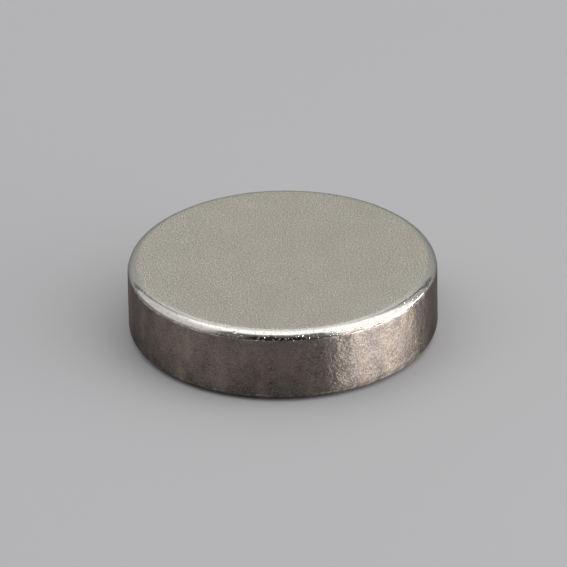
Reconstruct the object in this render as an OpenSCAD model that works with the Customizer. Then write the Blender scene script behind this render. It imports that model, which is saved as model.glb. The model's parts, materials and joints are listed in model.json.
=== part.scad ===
// Disc magnet: a sintered disc, ground flat on both poles, with its two rims rounded
// by tumbling and the whole of it plated in one skin. It is one solid, turned about Z.
// The origin is the centre of the lower pole face, and +Z is the axis of magnetisation.
// All lengths are in millimetres.

/* [Disc] */
// Diameter over the plated side wall
disc_d = 20; // [10:0.5:40]
// Thickness between the two pole faces
disc_t = 5; // [3:0.5:15]

/* [Rims] */
// Radius of the rounding between each pole face and the side wall
rim_r = 0.7; // [0.2:0.05:1.2]

/* [Finish] */
// Colour of the nickel plating
plating_colour = "#a8a498"; // ["#a8a498":Nickel, "#c9a24b":Gold, "#3a3c3f":Black nickel]
// Smoothness of the round surfaces, in steps to a full turn
round_steps = 180; // [48:12:360]

/* [Hidden] */
$fn = round_steps;
disc_r = disc_d / 2;         // outer radius of the side wall
pole_r = disc_r - rim_r;     // radius of the flat part of each pole face
wall_t = disc_t - 2 * rim_r; // height of the straight part of the side wall

// Half of the cross-section, in the plane where X is the distance from the axis and
// Y is the height. Each rim is a quarter of a full circle, tangent to face and wall.
module half_section() {
    square([pole_r, disc_t]);
    translate([0, rim_r])
        square([disc_r, wall_t]);
    for (centre_z = [rim_r, disc_t - rim_r])
        translate([pole_r, centre_z])
            circle(r = rim_r);
}

// The magnet: its half section turned once round the Z axis.
module disc_magnet() {
    color(plating_colour)
        rotate_extrude()
            half_section();
}

disc_magnet();
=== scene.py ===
# %% [markdown]
# # A nickel-plated disc magnet
#
# This magnet is a small solid disc of pressed and sintered metal powder. Its two pole
# faces are ground flat, its sharp rims are rounded in a tumbling drum, and a thin skin of
# nickel covers it all. The CAD model already holds the true size, so this script only
# loads it, spins a finer copy of the same shape, and gives that copy its wear and its
# metal finish. Then it adds a camera, a floor and a light tent.

# %% Load the CAD frame
import json
import math
import random

import bmesh
import bpy
from mathutils import Matrix, Vector, noise
from mathutils.kdtree import KDTree


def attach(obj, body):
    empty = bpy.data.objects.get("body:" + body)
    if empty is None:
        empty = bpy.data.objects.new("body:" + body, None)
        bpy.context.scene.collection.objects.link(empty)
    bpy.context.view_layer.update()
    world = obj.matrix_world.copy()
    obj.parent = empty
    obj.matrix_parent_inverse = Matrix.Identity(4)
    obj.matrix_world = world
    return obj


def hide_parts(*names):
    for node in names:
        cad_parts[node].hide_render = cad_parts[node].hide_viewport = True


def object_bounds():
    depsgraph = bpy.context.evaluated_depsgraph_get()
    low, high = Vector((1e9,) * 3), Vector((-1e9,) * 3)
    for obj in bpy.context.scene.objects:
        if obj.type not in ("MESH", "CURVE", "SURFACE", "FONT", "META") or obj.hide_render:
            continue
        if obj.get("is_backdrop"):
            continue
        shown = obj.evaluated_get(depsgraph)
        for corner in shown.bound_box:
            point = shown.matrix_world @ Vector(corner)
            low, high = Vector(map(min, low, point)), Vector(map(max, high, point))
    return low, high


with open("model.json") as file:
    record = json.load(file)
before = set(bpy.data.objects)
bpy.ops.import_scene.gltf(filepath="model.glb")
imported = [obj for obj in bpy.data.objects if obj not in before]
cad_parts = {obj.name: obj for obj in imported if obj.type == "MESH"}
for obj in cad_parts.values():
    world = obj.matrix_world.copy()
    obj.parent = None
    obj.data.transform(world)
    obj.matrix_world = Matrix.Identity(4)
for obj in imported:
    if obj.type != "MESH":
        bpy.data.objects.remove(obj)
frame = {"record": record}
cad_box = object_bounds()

scene = bpy.context.scene
scene.view_settings.view_transform = "Standard"
print("CAD box in millimetres:", [tuple(round(1000 * x, 2) for x in c) for c in cad_box])

# %% [markdown]
# Blender works in metres, and a magnet is small, so `MM` keeps the numbers readable. The
# disc's sizes could be typed in again, but then two files would have to agree. The record
# already states the straight side wall as a mount with a radius and a length, so they are
# read from it, and what the wall leaves of the thickness is the two rims.

# %% Sizes taken from the record
MM = 0.001
wall = next(m for m in frame["record"]["mounts"] if m["name"] == "side_wall")
disc_r = wall["dims"]["r_mm"] * MM
disc_t = cad_box[1].z - cad_box[0].z
rim_r = (disc_t - wall["dims"]["length_mm"] * MM) / 2
pole_r = disc_r - rim_r
print(f"radius {disc_r / MM:.2f}, thickness {disc_t / MM:.2f}, rim {rim_r / MM:.2f} mm")

# %% [markdown]
# ## The shape
#
# The real disc is one solid, the same all the way round. A cylinder with bevelled edges
# would give the outline, but its caps are single faces and its wall has no points between
# the rims. A turned shape needs only half of its cross-section: four corner points joined
# by three lines. The two outer corners are bevelled as vertices, and a profile of 0.5
# makes each bevel a true quarter circle. The straight lines are then cut into short
# pieces, because only points can move when the surface is worn later.

# %% Draw the half section
RIM_STEPS = 20
FACE_CUTS = 24
WALL_CUTS = 23


def half_section():
    """Half of the cross-section, from the axis out, down and back, with round corners."""
    bm = bmesh.new()
    corners = [bm.verts.new(c) for c in (
        (0, 0, disc_t), (disc_r, 0, disc_t), (disc_r, 0, 0), (0, 0, 0))]
    for start, end in zip(corners, corners[1:]):
        bm.edges.new((start, end))
    bmesh.ops.bevel(bm, geom=corners[1:3], offset=rim_r, offset_type="OFFSET",
                    segments=RIM_STEPS, profile=0.5, affect="VERTICES", material=-1)
    for edge in list(bm.edges):
        if edge.calc_length() > 2 * rim_r:
            is_wall = abs(edge.verts[0].co.z - edge.verts[1].co.z) > rim_r
            cuts = WALL_CUTS if is_wall else FACE_CUTS
            bmesh.ops.subdivide_edges(bm, edges=[edge], cuts=cuts)
    return bm


section = half_section()
print("the half section has", len(section.verts), "points")

# %% [markdown]
# One full spin with `use_merge` would close the disc in a single call, but a spin takes
# four times as long for twice the steps, and the 720 steps needed here take about 20
# seconds. So the section is spun through one wedge, and a second spin lays copies of the
# wedge all round the axis, which takes less than a second. The seams between wedges and
# the points on the axis are then merged, and the normals are worked out again, because a
# spin can turn a shape inside out.

# %% Spin it into a disc
WEDGES = 8
WEDGE_STEPS = 90


def spun(bm):
    """Turns the section in bm into one wedge, then lays copies of it all round the Z axis."""
    centre_line = {"cent": (0, 0, 0), "axis": (0, 0, 1), "use_merge": False}
    wedge = math.tau / WEDGES
    bmesh.ops.spin(bm, geom=bm.verts[:] + bm.edges[:], angle=wedge, steps=WEDGE_STEPS,
                   **centre_line)
    bmesh.ops.spin(bm, geom=bm.faces[:], angle=math.tau - wedge, steps=WEDGES - 1,
                   use_duplicate=True, **centre_line)
    bmesh.ops.remove_doubles(bm, verts=bm.verts[:], dist=0.001 * MM)
    bmesh.ops.recalc_face_normals(bm, faces=bm.faces[:])
    bm.normal_update()
    return bm


skin = spun(section)
open_edges = sum(not e.is_manifold for e in skin.edges)
print("the disc has", len(skin.faces), "faces and", open_edges, "open edges")

# %% [markdown]
# ## The wear
#
# A rim that is rounded in a tumbling drum is never quite even, and other magnets knock
# small nicks into it. A bump texture could fake that, but it would be gone from the mesh,
# so the nicks are real dents. They are scattered over both rims by a seeded random number
# generator, which gives the same nicks on every run. A KD tree then finds the nicks near
# any point quickly.

# %% Scatter the nicks
NICKS = 90
NICK_TILT = (15, 80)
NICK_REACH = (0.10 * MM, 0.20 * MM)
NICK_DEPTH = (0.0066 * MM, 0.022 * MM)
luck = random.Random(11)


def rim_point(turn, tilt, lower):
    """The point on a rim at a turn round the axis, where the skin tilts `tilt` from flat."""
    out = pole_r + rim_r * math.sin(tilt)
    down = rim_r * (1 - math.cos(tilt))
    return Vector((out * math.cos(turn), out * math.sin(turn), down if lower else disc_t - down))


nicks = []
for n in range(NICKS):
    centre = rim_point(luck.uniform(0, math.tau), math.radians(luck.uniform(*NICK_TILT)), n % 2)
    nicks.append((centre, luck.uniform(*NICK_REACH), luck.uniform(*NICK_DEPTH)))
nick_tree = KDTree(NICKS)
for n, nick in enumerate(nicks):
    nick_tree.insert(nick[0], n)
nick_tree.balance()
print(NICKS, "nicks, the deepest", round(max(nick[2] for nick in nicks) / MM, 3), "mm")

# %% [markdown]
# The rims also wave a little, which is why a light reflected in them has a ragged edge.
# The wall waves too, but far less, because it was ground. A Displace modifier could wave
# the disc, but it would bend the flat faces as well, and push some points outwards. So
# Perlin noise says how far each point moves, and it may only move inwards, along its own
# normal: the disc never grows past its stated size. The pole faces are ground truly flat,
# so their points stay put.

# %% Wear the rims
RIM_WAVE = 0.016 * MM
WALL_WAVE = 0.006 * MM
WAVES_PER_MM = 0.9
RIPPLES_PER_MM = 2.1
RIPPLE_SHARE = 0.2
WEAR_FADES_IN = 0.3 * rim_r
WALL_ABOVE = (0.7 * rim_r, 1.1 * rim_r)


def part_way(value, start, end):
    """How far a number has come from start to end, kept between 0 and 1."""
    return min(max((value - start) / (end - start), 0), 1)


def wear(point):
    """How far the skin is worn in at a point."""
    off_face = part_way(math.hypot(point.x, point.y), pole_r, pole_r + WEAR_FADES_IN)
    on_wall = part_way(min(point.z, disc_t - point.z), *WALL_ABOVE)
    wave = (0.5 + 0.5 * noise.noise(point / MM * WAVES_PER_MM)
            + RIPPLE_SHARE * noise.noise(point / MM * RIPPLES_PER_MM))
    depth = off_face * part_way(wave, 0, 1) * (RIM_WAVE + (WALL_WAVE - RIM_WAVE) * on_wall)
    for _, n, gap in nick_tree.find_range(point, NICK_REACH[1]):
        _, reach, nick_depth = nicks[n]
        depth += nick_depth * (1 - part_way(gap, 0, reach) ** 2) ** 2
    return depth


moves = [(v, v.normal * wear(v.co)) for v in skin.verts
         if math.hypot(v.co.x, v.co.y) > pole_r]
for vert, move in moves:
    vert.co -= move
deepest = max(move.length for _, move in moves)
print(len(moves), "points moved, the deepest by", round(deepest / MM, 3), "mm")

# %% [markdown]
# The worn skin becomes one mesh object. It stays at the origin, unturned and unscaled. It
# rides on the only body and takes the place of the plain CAD solid. Smooth shading hides
# the small flat faces.

# %% Make it the magnet
mesh = bpy.data.meshes.new("magnet_body")
skin.to_mesh(mesh)
skin.free()
for polygon in mesh.polygons:
    polygon.use_smooth = True
magnet = bpy.data.objects.new("magnet_body", mesh)
scene.collection.objects.link(magnet)
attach(magnet, "root")
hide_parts("disc_magnet")
print("magnet_body has", sum(len(p.vertices) - 2 for p in mesh.polygons), "triangles")

# %% [markdown]
# ## The finish
#
# Shader maths is easier to read as Python. `Wire` wraps a socket, so that `a * b` adds the
# Math node that multiplies them, and `Wire.add` makes any other node. `Wire.tree` says
# which node tree is being wired: the metal first, and later the floor and the tent.

# %% A helper for shader maths


class Wire:
    """A shader socket that takes part in Python expressions."""

    tree = None

    def __init__(self, socket):
        self.socket = socket

    @staticmethod
    def start(owner):
        """Empties the node tree of a material or a world, and wires it from now on."""
        owner.use_nodes = True
        owner.node_tree.nodes.clear()
        Wire.tree = owner.node_tree

    @staticmethod
    def add(kind, settings=None, out=0, **values):
        """Adds a node, sets its settings, plugs or sets its sockets, and returns one output.

        A socket is named with _ for a space, or by number as i0, i1 and so on."""
        node = Wire.tree.nodes.new(kind)
        for name, value in (settings or {}).items():
            setattr(node, name, value)
        for name, value in values.items():
            numbered = name[0] == "i" and name[1:].isdigit()
            socket = node.inputs[int(name[1:]) if numbered else name.replace("_", " ")]
            if isinstance(value, Wire):
                Wire.tree.links.new(value.socket, socket)
            else:
                socket.default_value = value
        return Wire(node.outputs[out]) if node.outputs else None

    @staticmethod
    def math(operation, a, b=0.0):
        """The Math node of one operation on two values."""
        return Wire.add("ShaderNodeMath", {"operation": operation}, i0=a, i1=b)

    def __add__(self, other):
        return Wire.math("ADD", self, other)

    def __sub__(self, other):
        return Wire.math("SUBTRACT", self, other)

    def __rsub__(self, other):
        return Wire.math("SUBTRACT", other, self)

    def __mul__(self, other):
        return Wire.math("MULTIPLY", self, other)

    __radd__ = __add__
    __rmul__ = __mul__


metal = bpy.data.materials.new("nickel_plating")
Wire.start(metal)
print("an empty material called", metal.name)

# %% [markdown]
# Five small helpers say in one word what a few nodes do: a smooth ramp, a lumpy noise, a
# blend of two colours, a colour made lighter or darker, and a stretched vector. Colours
# and vectors go through Mix and Vector Math nodes, because a Math node holds one number
# and would turn a colour grey.

# %% Ramps, grain and colours


def rise(value, start, end):
    """0 up to start, 1 from end on, and a smooth climb between them."""
    return Wire.add("ShaderNodeMapRange", {"interpolation_type": "SMOOTHSTEP"},
                    Value=value, From_Min=start, From_Max=end)


def grain(position, per_mm, detail, roughness=0.5):
    """Lumpy noise round 0.5, with about `per_mm` lumps to a millimetre."""
    return Wire.add("ShaderNodeTexNoise", Vector=position, Scale=per_mm, Detail=detail,
                    Roughness=roughness)


def blend(factor, a, b):
    """Colour a where factor is 0 and colour b where it is 1."""
    return Wire.add("ShaderNodeMix", {"data_type": "RGBA"}, out=2, i0=factor, i6=a, i7=b)


def shaded(colour, amount):
    """A colour made lighter or darker, where amount 1 leaves it as it is."""
    return Wire.add("ShaderNodeVectorMath", {"operation": "SCALE"}, i0=colour, Scale=amount)


def stretched(vector, scale):
    """A vector with each of its three numbers multiplied by one of scale."""
    return Wire.add("ShaderNodeVectorMath", {"operation": "MULTIPLY"}, i0=vector, i1=scale)


print("helpers ready: rise, grain, blend, shaded, stretched")

# %% [markdown]
# The pole faces, the tumbled rims and the ground wall have different finishes, so each
# needs a mask. Three separate materials would leave hard edges between them. Instead they
# are told apart by the distance from the axis, which comes from Object coordinates,
# because those stay with the piece. Only the lower rim also needs its height: it takes the
# wall's rough finish, and the wall's dark colour as painted shade where the disc meets the
# floor. Nothing changes in one place either, so each change has a start and an end, counted
# in rim radii past the flat face, or above the floor for the foot. The satin fades out more
# than half way across the rim, and on the way to the wall the colour darkens into painted
# shade before the shine changes.

# %% Where each finish starts and ends
SATIN_FADES = (-0.10, 0.58)
FACE_FADES = (0.0, 0.45)
DARK_PAINT_GROWS = (0.88, 0.985)
WALL_GROWS = (0.95, 0.996)
FOOT_FADES = (0.9, 1.1)
position = Wire.add("ShaderNodeTexCoord", out="Object")
in_mm = stretched(position, (1 / MM, 1 / MM, 1 / MM))
across = stretched(in_mm, (1, 1, 0))
from_axis = Wire.add("ShaderNodeVectorMath", {"operation": "LENGTH"}, out="Value", i0=across)
height_up = Wire.add("ShaderNodeSeparateXYZ", out="Z", i0=in_mm)


def past_face(rims):
    """0 up to the first place and 1 from the second on, in rim radii past the flat face."""
    start, end = ((pole_r + share * rim_r) / MM for share in rims)
    return rise(from_axis, start, end)


satin_shine = 1 - past_face(SATIN_FADES)
face = 1 - past_face(FACE_FADES)
foot_start, foot_end = (share * rim_r / MM for share in FOOT_FADES)
foot = (1 - rise(height_up, foot_start, foot_end)) * (1 - face)
# painted shade: where the colour turns to the dark wall nickel, on the outer rim and at the foot
painted_dark = Wire.math("MAXIMUM", past_face(DARK_PAINT_GROWS), foot)
side = Wire.math("MAXIMUM", past_face(WALL_GROWS), foot)
rim = (1 - face) * (1 - side)
print(f"flat up to {pole_r / MM:.2f} mm from the axis, wall from {disc_r / MM:.2f} mm")

# %% [markdown]
# Plating follows the metal under it, so it shows a fine grain. A single noise looks like
# fog or like sand, so several sizes are used. Satin is the fine grain on face and wall, and
# the few crystals on the face that catch the light are painted glints, spots made lighter
# in the colour. Clouds drift slowly over the faces. Mottle and upright streaks are the
# blotches that the wall keeps, peel is its orange-peel relief, and pits are tiny holes in
# the rim. A ramp turns a noise into separate spots, because it keeps only its highest lumps.

# %% The noises
SATIN_PER_MM = 12.0
SPARKLES_PER_MM = 8.0
PITS_PER_MM = 7.0
PEEL_PER_MM = 4.0
MOTTLE_PER_MM = 1.3
STREAKS_PER_MM = 0.9
CLOUDS_PER_MM = 0.45
UPRIGHT = (1, 1, 0.3)
satin = grain(in_mm, SATIN_PER_MM, detail=2.0, roughness=0.7)
# painted glints: spots made lighter in the colour of the face
painted_glint = rise(grain(in_mm, SPARKLES_PER_MM, detail=1.0), 0.58, 0.76)
pits = rise(grain(in_mm, PITS_PER_MM, detail=1.0), 0.635, 0.715)
peel = grain(in_mm, PEEL_PER_MM, detail=2.0, roughness=0.6)
mottle = grain(in_mm, MOTTLE_PER_MM, detail=1.0)
streak = grain(stretched(in_mm, UPRIGHT), STREAKS_PER_MM, detail=1.0)
cloud = grain(in_mm, CLOUDS_PER_MM, detail=2.0)
print(f"lumps from {1 / SATIN_PER_MM:.2f} to {1 / CLOUDS_PER_MM:.1f} mm wide")

# %% [markdown]
# All of it is the same nickel, but the finish changes how much light comes back. The
# tumbled rim is almost a mirror and nearly neutral. The satin face is a little darker and
# warmer. The wall's colour is painted far darker than the rim, a little for its duller
# ground finish and mostly as painted shade, standing in for the dark surroundings it
# reflects. It wavers between brown and grey. One colour for everything would look like paint.

# %% Shades of nickel
RIM_NICKEL = (0.66, 0.643, 0.60, 1)
FACE_NICKEL = (0.564, 0.54, 0.47, 1)
# painted shade: both wall colours are far darker than nickel, standing in for the dark
# reflection in the wall
WALL_BROWN = (0.222, 0.184, 0.156, 1)
WALL_GREY = (0.213, 0.182, 0.163, 1)
wall_painted_dark = blend(rise(streak, 0.38, 0.62), WALL_GREY, WALL_BROWN)
nickel = blend(painted_dark, blend(face, RIM_NICKEL, FACE_NICKEL), wall_painted_dark)
print("colours of rim and face:", RIM_NICKEL[:3], FACE_NICKEL[:3])

# %% [markdown]
# Two thin broken lines of lighter colour are painted highlights. The one at the top of the
# wall stands in for a reflection of the horizon, and a wider and weaker one lies at its
# foot. Lines could be painted on a texture, but they would need an unwrapped mesh. Here a
# height gives each line its place, and a noise breaks it up. The foot's line also wavers
# in height, or its pieces would look like a row of stitches.

# %% Painted highlight lines
TOP_LINE = (disc_t - 0.82 * rim_r) / MM
FOOT_LINE = 0.6 * rim_r / MM
TOP_HALF_WIDTH = 0.065
FOOT_HALF_WIDTH = 0.12
FOOT_WAVER = 0.5
FOOT_WEAKER = 0.6
PIECES_PER_MM = 2.4


def line(level, centre, half_width):
    """1 where level is at centre, and 0 further from it than half_width millimetres."""
    return 1 - rise(Wire.math("ABSOLUTE", level - centre), 0.3 * half_width, half_width)


def swing(lumps, amount):
    """A noise round 0.5 turned into a swing of `amount` round 0."""
    return (lumps - 0.5) * amount


broken = rise(grain(in_mm, PIECES_PER_MM, detail=2.0), 0.40, 0.62)
top_line = line(height_up, TOP_LINE, TOP_HALF_WIDTH)
foot_line = line(height_up + swing(peel, FOOT_WAVER), FOOT_LINE, FOOT_HALF_WIDTH)
# painted highlight: two lighter lines in the wall's colour
painted_highlight = (top_line + foot_line * FOOT_WEAKER) * broken
print(f"lines rubbed clean {TOP_LINE:.2f} and {FOOT_LINE:.2f} mm above the floor")

# %% [markdown]
# The noises then make the nickel lighter and darker. They could be mixed in as colours,
# but a finish changes how much light comes back and hardly its hue, so they only scale
# it. The fine satin needs a much larger swing than the broad clouds, because the eye
# averages a fine grain out. The face's glints and the two lines are painted highlights,
# the pits are darkened as painted shade in their hollows, and the wall gets darker towards
# its foot as painted shade where the disc meets the floor.

# %% Grain, painted glints and painted shade in the colour
FACE_SATIN_SWING = 3.3
FACE_CLOUD_SWING = 0.16
SPARKLE_LIGHTER = 0.55
WALL_SATIN_SWING = 2.3
WALL_MOTTLE_SWING = 0.5
WALL_STREAK_SWING = 0.7
LINE_LIGHTER = 1.5
PIT_DARKER = 0.12
FOOT_DARKER = 0.2
FOOT_SHADE_FADES = (0.2, 3.2)
# painted shade: the wall darkens towards its foot, where it meets the floor
painted_foot_shade = 1 - rise(height_up, *FOOT_SHADE_FADES)
face_shade = (swing(satin, FACE_SATIN_SWING) + painted_glint * SPARKLE_LIGHTER
              + swing(cloud, FACE_CLOUD_SWING))
# the wall's shade holds the painted highlight lines and the painted shade at its foot
side_shade = (swing(satin, WALL_SATIN_SWING) + swing(mottle, WALL_MOTTLE_SWING)
              + swing(streak, WALL_STREAK_SWING) + painted_highlight * LINE_LIGHTER - painted_foot_shade * FOOT_DARKER)
# painted shade: the pits are darkened in the colour, on top of their real dent in the relief
nickel = shaded(nickel, 1 + face * face_shade + side * side_shade - rim * pits * PIT_DARKER)
print(f"a pit is {PIT_DARKER:.0%} darker, and the foot of the wall {FOOT_DARKER:.0%}")

# %% [markdown]
# The same noises tilt the surface through a Bump node, for what is finer than the mesh.
# Heights are written in millimetres, and a Distance of one millimetre turns them into
# true depth: a bump that is right at one size looks wrong at another when it is not.

# %% Fine relief
FACE_GRAIN = 0.002
WALL_PEEL = 0.03
WALL_STREAK = 0.02
PIT_DEPTH = 0.011
height = (face * satin * FACE_GRAIN
          + side * (peel * WALL_PEEL + mottle * WALL_PEEL + streak * WALL_STREAK)
          - rim * pits * PIT_DEPTH)
relief = Wire.add("ShaderNodeBump", Height=height, Distance=MM, Strength=1.0)
print(f"pits {PIT_DEPTH} mm deep, peel and mottle up to {WALL_PEEL} mm high")

# %% [markdown]
# Smooth metal and ground metal need two shaders, because anisotropy has to be a constant.
# The rim and the face share one, in which only the roughness changes. The wall is ground
# while it turns, so its scratches run round the disc, and they smear every reflection up
# and down. That is a strong anisotropy with a quarter turn. Blender's own tangent runs
# round the Z axis, so no tangent has to be made. A Mix Shader joins the two.
#
# Left alone, a metal in Blender flares up to white at a glancing angle, and the disc would
# get a pale outline. Nickel does not flare so much, and on a worn skin the small scratches
# also hide each other at such an angle. Specular Tint sets how much of the flare is kept.

# %% The two metals
RIM_ROUGHNESS = 0.09
FACE_ROUGHNESS = 0.48
WALL_ROUGHNESS = 0.4
WALL_SMEAR = 0.88
QUARTER_TURN = 0.25
FLARE_KEPT = (0.5, 0.5, 0.5, 1)
smooth_metal = Wire.add("ShaderNodeBsdfPrincipled", Metallic=1.0, Base_Color=nickel,
                        Roughness=RIM_ROUGHNESS + satin_shine * (FACE_ROUGHNESS - RIM_ROUGHNESS),
                        Specular_Tint=FLARE_KEPT, Normal=relief)
ground_metal = Wire.add("ShaderNodeBsdfPrincipled", Metallic=1.0, Base_Color=nickel,
                        Roughness=WALL_ROUGHNESS, Anisotropic=WALL_SMEAR,
                        Anisotropic_Rotation=QUARTER_TURN, Specular_Tint=FLARE_KEPT,
                        Normal=relief)
both = Wire.add("ShaderNodeMixShader", Fac=side, i1=smooth_metal, i2=ground_metal)
Wire.add("ShaderNodeOutputMaterial", Surface=both)
mesh.materials.append(metal)
print(metal.name, "has", len(metal.node_tree.nodes), "nodes")

# %% [markdown]
# ## The camera
#
# A small part is usually shown from well above the bench, so that the face and the wall
# are both seen. The camera stands far off with a long lens, which keeps the two ends of
# the ellipse equal, and it is rolled by a hair. Everything is measured in disc radii, so
# the view would also fit a disc of another size.

# %% Place the camera
ELEVATION = math.radians(28.5)
ROLL = math.radians(-0.94)
DISTANCE = 60 * disc_r
FRAME_WIDTH = 3.6637 * disc_r
LOOK_AT = Vector((0.0055, 0, 0.3213)) * disc_r
camera_data = bpy.data.cameras.new("camera")
camera_data.sensor_width = 36
camera_data.lens = camera_data.sensor_width * DISTANCE / FRAME_WIDTH
camera_data.clip_end = 10
camera = bpy.data.objects.new("camera", camera_data)
stand = Vector((0, -DISTANCE * math.cos(ELEVATION),
                DISTANCE * math.sin(ELEVATION) + disc_t / 2))
aim = (LOOK_AT - stand).to_track_quat("-Z", "Y").to_matrix() @ Matrix.Rotation(ROLL, 3, "Z")
camera.matrix_world = Matrix.LocRotScale(stand, aim, None)
scene.collection.objects.link(camera)
scene.camera = camera
print(f"a lens of {camera_data.lens:.0f} mm, {DISTANCE:.2f} m away")

# %% [markdown]
# ## The floor
#
# The disc stands on a plain pale sheet that reaches past the edge of every view. It is
# matt, because a shiny floor would add a second magnet below the first. Metal shows what
# is round it, so this floor is also most of what the wall reflects: the paler the floor,
# the lighter the wall.

# %% Lay the floor
FLOOR_GREY = (0.48, 0.48, 0.49, 1)
HALF_FLOOR = 2.0
floor_mesh = bpy.data.meshes.new("floor")
sheet = bmesh.new()
bmesh.ops.create_grid(sheet, x_segments=1, y_segments=1, size=HALF_FLOOR)
sheet.to_mesh(floor_mesh)
sheet.free()
floor = bpy.data.objects.new("floor", floor_mesh)
scene.collection.objects.link(floor)
floor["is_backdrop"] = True
matt = bpy.data.materials.new("pale_floor")
Wire.start(matt)
paper = Wire.add("ShaderNodeBsdfPrincipled", Base_Color=FLOOR_GREY, Roughness=0.9,
                 Specular_IOR_Level=0.0)
Wire.add("ShaderNodeOutputMaterial", Surface=paper)
floor_mesh.materials.append(matt)
print(f"a floor {floor.dimensions.x:.0f} m wide, colour", FLOOR_GREY[:3])

# %% [markdown]
# ## The light tent
#
# Small shiny things are lit in a tent: a soft box overhead, cloth on the sides and at the
# back, and a dim front where the lens looks in. Area lamps could stand for the cloths,
# but a polished rim mirrors them as hard-edged boards. So the tent is drawn on the world,
# where every edge can be soft. A place on it is found by its azimuth, from straight
# behind the disc round to the right, and by its elevation above the floor.

# %% Where a ray meets the tent
DEGREES = 180 / math.pi
tent = bpy.data.worlds.new("light_tent")
scene.world = tent
Wire.start(tent)
direction = Wire.add("ShaderNodeTexCoord", out="Generated")
right, back, up = (Wire.add("ShaderNodeSeparateXYZ", out=axis, i0=direction) for axis in "XYZ")
azimuth = Wire.math("ARCTAN2", right, back) * DEGREES
elevation = Wire.math("ARCSINE", up) * DEGREES


def between(value, start, end, soft):
    """1 from start to end and 0 outside, with edges `soft` wide."""
    return rise(value, start - soft / 2, start + soft / 2) * (
        1 - rise(value, end - soft / 2, end + soft / 2))


def cloth(start, end, soft, low, gain, full):
    """A wall of the tent: its light near the floor, and what it gains up to `full`."""
    return between(azimuth, start, end, soft) * (low + gain * rise(elevation, 25, full))


print("the world is now called", tent.name)

# %% [markdown]
# The right side is the key light. The left side is about half as bright near the floor,
# and the back about half of that. Narrow seams part the cloths, and the rim draws them as
# thin dark lines. The low gap in front is where the lens looks in, and the rim shows it
# as a dark pocket. The roof is a long soft box from left to right, with straight edges at
# fixed distances in front of and behind the disc. A strength of 1 all round would show
# every colour as it is written, and this tent comes close to that as a whole.

# %% Hang the cloths and the roof
ROOF = 1.6
FRONT = 0.18
GAP_DARKER = 0.155
FRONT_TOP_LIGHTER = 0.29
low_gap = (1 - between(azimuth, -153, 162, soft=14)) * between(elevation, 1, 34, soft=8)
front = FRONT - GAP_DARKER * low_gap + FRONT_TOP_LIGHTER * rise(elevation, 44, 62)
walls = (cloth(-45, 44, soft=8, low=0.30, gain=0.27, full=50)
         + cloth(-128, -68, soft=16, low=0.60, gain=0.60, full=65)
         + cloth(-68, -53, soft=6, low=0.52, gain=0.0, full=65)
         + cloth(54, 69, soft=6, low=0.34, gain=0.1, full=65)
         + cloth(72, 141, soft=14, low=1.33, gain=0.0, full=65))
roof = between(back, -0.50, 0.195, soft=0.2) * rise(elevation, 48, 64)
light = (front + walls) * (1 - roof) + ROOF * roof
glow = Wire.add("ShaderNodeBackground", Color=(1, 1, 1, 1), Strength=light)
Wire.add("ShaderNodeOutputWorld", Surface=glow)
print("the tent has", len(tent.node_tree.nodes), "nodes")

# %% [markdown]
# The wall smears its reflections up and down, so a bright strip near the floor fills the
# right of the wall with a soft glow. If that glow were part of the tent, the flat face
# would mirror it too, and turn white from behind. Two low strip lamps can do it: they stay
# below the top of the disc, where the face can't see them. The second is dimmer, and lets
# the glow fade out at its edge.

# %% Stand the strip lamps
STRIP_AWAY = 100 * MM
STRIP_HIGH = 0.9 * disc_t
STRIP_FOOT = 0.02 * disc_t


def strip(name, azimuth_deg, half_width_deg, radiance):
    """A low strip lamp that stands on the floor and faces the disc."""
    lamp = bpy.data.lights.new(name, "AREA")
    lamp.shape = "RECTANGLE"
    lamp.size = 2 * STRIP_AWAY * math.tan(math.radians(half_width_deg))
    lamp.size_y = STRIP_HIGH
    lamp.energy = radiance * math.pi * lamp.size * lamp.size_y
    ob = bpy.data.objects.new(name, lamp)
    way = math.radians(azimuth_deg)
    toward = Vector((math.sin(way), math.cos(way), 0))
    middle = toward * STRIP_AWAY + Vector((0, 0, STRIP_FOOT + STRIP_HIGH / 2))
    ob.matrix_world = Matrix.LocRotScale(middle, toward.to_track_quat("Z", "Y"), None)
    ob.visible_camera = False
    scene.collection.objects.link(ob)
    print(f"{name}: {lamp.size / MM:.0f} by {lamp.size_y / MM:.1f} mm, {lamp.energy:.3f} W")


strip("right_strip", azimuth_deg=111, half_width_deg=28, radiance=92)
strip("right_strip_edge", azimuth_deg=74.5, half_width_deg=8, radiance=11)

# %% Print the sizes of both boxes
boxes = {"cad": cad_box, "visual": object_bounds()}
for name, box in boxes.items():
    print(name, "box in millimetres:", [tuple(round(x / MM, 3) for x in c) for c in box])
